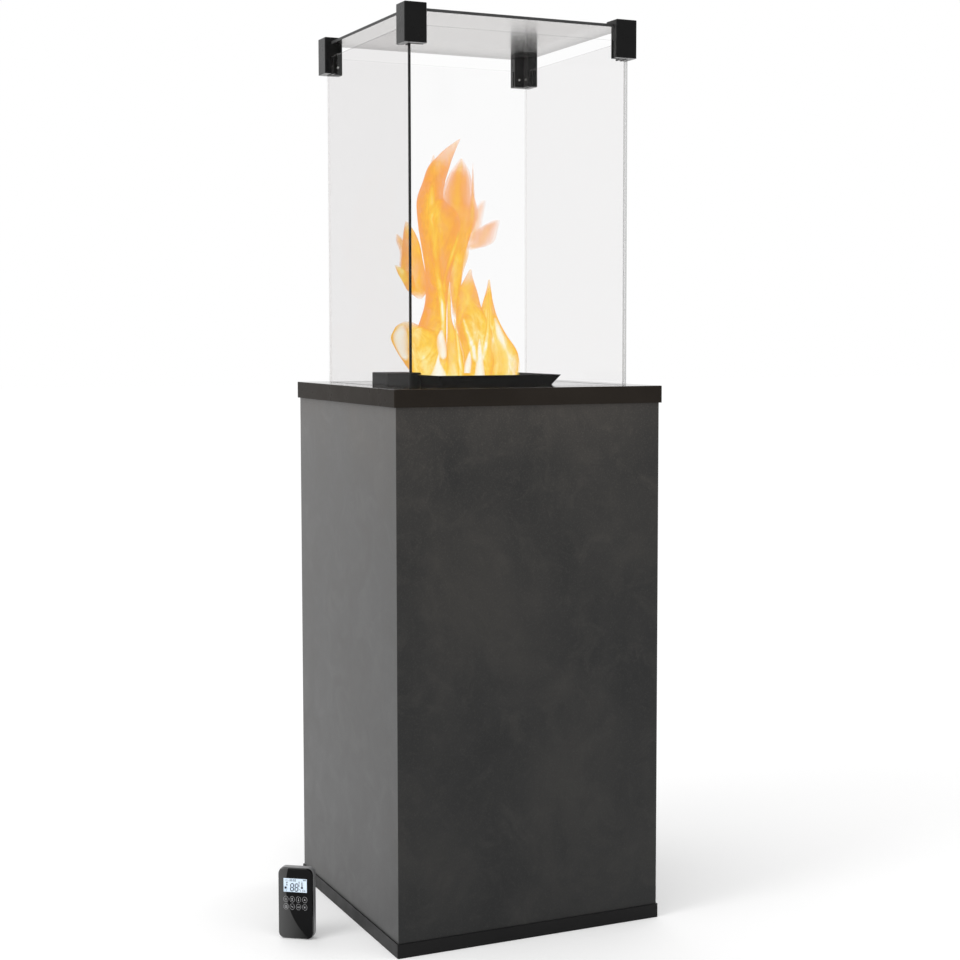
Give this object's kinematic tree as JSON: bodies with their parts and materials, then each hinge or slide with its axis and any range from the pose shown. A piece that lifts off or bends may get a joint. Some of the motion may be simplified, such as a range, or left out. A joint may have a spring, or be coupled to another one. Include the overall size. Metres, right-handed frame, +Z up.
{
  "type": "outdoor gas heater",
  "caption": "Square stone-clad outdoor gas heater with a flame between glass panes under a glass roof, a rear service door and a remote control.",
  "frame": {"origin": "centre of the underside of the base tray, on the ground", "axes": "+Z up, -Y towards the front panel, +X to the right seen from the front; the service door is on +Y"},
  "size_m": [0.6531, 0.509, 1.595],
  "materials": {
    "black_steel": "satin",
    "top_black": "semi-gloss",
    "stone_panel": "honed, mottled",
    "glass": "clear, toughened",
    "clamp_black": "satin",
    "burner_steel": "matt, heat resistant",
    "stainless": "brushed",
    "brass": "machined",
    "ceramic_white": "matt",
    "pipe_metal": "drawn",
    "valve_casting": "cast",
    "black_plastic": "moulded",
    "rubber_black": "matt",
    "battery": "gloss",
    "bottle_paint": "gloss",
    "foot_plastic": "moulded",
    "remote_gloss": "high gloss",
    "remote_silver": "satin",
    "display": "backlit",
    "circuit_board": "lacquered"
  },
  "bodies": {
    "root": {"base_tray": "black_steel", "bottle_collar": "bottle_paint", "bottle_valve": "brass", "burner_deck": "top_black", "burner_head": "burner_steel", "burner_tray": "burner_steel", "clamp_screws": "stainless", "control_leads": "rubber_black", "corner_clamp_front_left": "clamp_black", "corner_clamp_front_right": "clamp_black", "corner_clamp_rear_left": "clamp_black", "corner_clamp_rear_right": "clamp_black", "corner_posts": "black_steel", "front_panel": "stone_panel", "gas_bottle": "bottle_paint", "gas_chamber": "burner_steel", "gas_hose": "rubber_black", "glass_front": "glass", "glass_left": "glass", "glass_rail": "black_steel", "glass_rear": "glass", "glass_right": "glass", "glass_roof": "glass", "glass_seal": "rubber_black", "hinge_leaves": "black_steel", "ignition_electrode": "ceramic_white", "injector": "brass", "left_panel": "stone_panel", "main_gas_pipe": "pipe_metal", "pilot_burner": "stainless", "pilot_cover": "burner_steel", "pilot_gas_pipe": "pipe_metal", "receiver_batteries": "battery", "receiver_box": "black_plastic", "regulator": "valve_casting", "regulator_nut": "valve_casting", "right_panel": "stone_panel", "service_shelf": "black_steel", "thermocouple": "stainless", "top_plate": "top_black", "top_rails": "black_steel", "valve_body": "valve_casting", "valve_motor": "black_plastic", "venturi_tube": "stainless"},
    "door": {"rear_door": "black_steel"},
    "lock": {"door_lock": "stainless"},
    "bottle_handwheel": {"handwheel": "black_plastic"},
    "pilot_knob": {"manual_knob": "black_plastic"},
    "flame_knob": {"flow_knob": "black_plastic"},
    "receiver_lid": {"receiver_cover": "black_plastic"},
    "remote": {"remote_front": "remote_gloss", "remote_rear": "remote_silver", "remote_display": "display", "remote_circuit_board": "circuit_board", "remote_batteries": "battery"},
    "remote_lid": {"remote_battery_cover": "remote_silver"},
    "foot_front_left": {"levelling_foot_front_left": "foot_plastic"},
    "foot_front_right": {"levelling_foot_front_right": "foot_plastic"},
    "foot_rear_left": {"levelling_foot_rear_left": "foot_plastic"},
    "foot_rear_right": {"levelling_foot_rear_right": "foot_plastic"}
  },
  "joints": [
    {"name": "door_hinge", "type": "hinge", "parent": "root", "child": "door", "pos_m": [-0.2155, 0.2515, 0.48], "axis": [0, 0, 1], "range_deg": [0, 120]},
    {"name": "lock_turn", "type": "hinge", "parent": "door", "child": "lock", "pos_m": [0.19, 0.248, 0.48], "axis": [0, -1, 0], "range_deg": [0, 90]},
    {"name": "handwheel_turn", "type": "hinge", "parent": "root", "child": "bottle_handwheel", "pos_m": [0, -0.01, 0.56], "axis": [0, 0, 1], "range_deg": [0, 540]},
    {"name": "pilot_knob_turn", "type": "hinge", "parent": "root", "child": "pilot_knob", "pos_m": [0.098, -0.028, 0.82], "axis": [0, 1, 0], "range_deg": [0, 90]},
    {"name": "flame_knob_turn", "type": "hinge", "parent": "root", "child": "flame_knob", "pos_m": [0.132, -0.028, 0.82], "axis": [0, 1, 0], "range_deg": [0, 120]},
    {"name": "receiver_lid_lift", "type": "slide", "parent": "root", "child": "receiver_lid", "axis": [0, 0, 1], "range_m": [0, 0.03]},
    {"name": "remote_lift", "type": "slide", "parent": "root", "child": "remote", "axis": [0, 0, 1], "range_m": [0, 0.15]},
    {"name": "battery_cover_pull", "type": "slide", "parent": "remote", "child": "remote_lid", "axis": [0.5878, 0.809, 0], "range_m": [0, 0.02]},
    {"name": "foot_front_left_turn_out", "type": "slide", "parent": "root", "child": "foot_front_left", "axis": [0, 0, -1], "range_m": [0, 0.01]},
    {"name": "foot_front_right_turn_out", "type": "slide", "parent": "root", "child": "foot_front_right", "axis": [0, 0, -1], "range_m": [0, 0.01]},
    {"name": "foot_rear_left_turn_out", "type": "slide", "parent": "root", "child": "foot_rear_left", "axis": [0, 0, -1], "range_m": [0, 0.01]},
    {"name": "foot_rear_right_turn_out", "type": "slide", "parent": "root", "child": "foot_rear_right", "axis": [0, 0, -1], "range_m": [0, 0.01]}
  ]
}
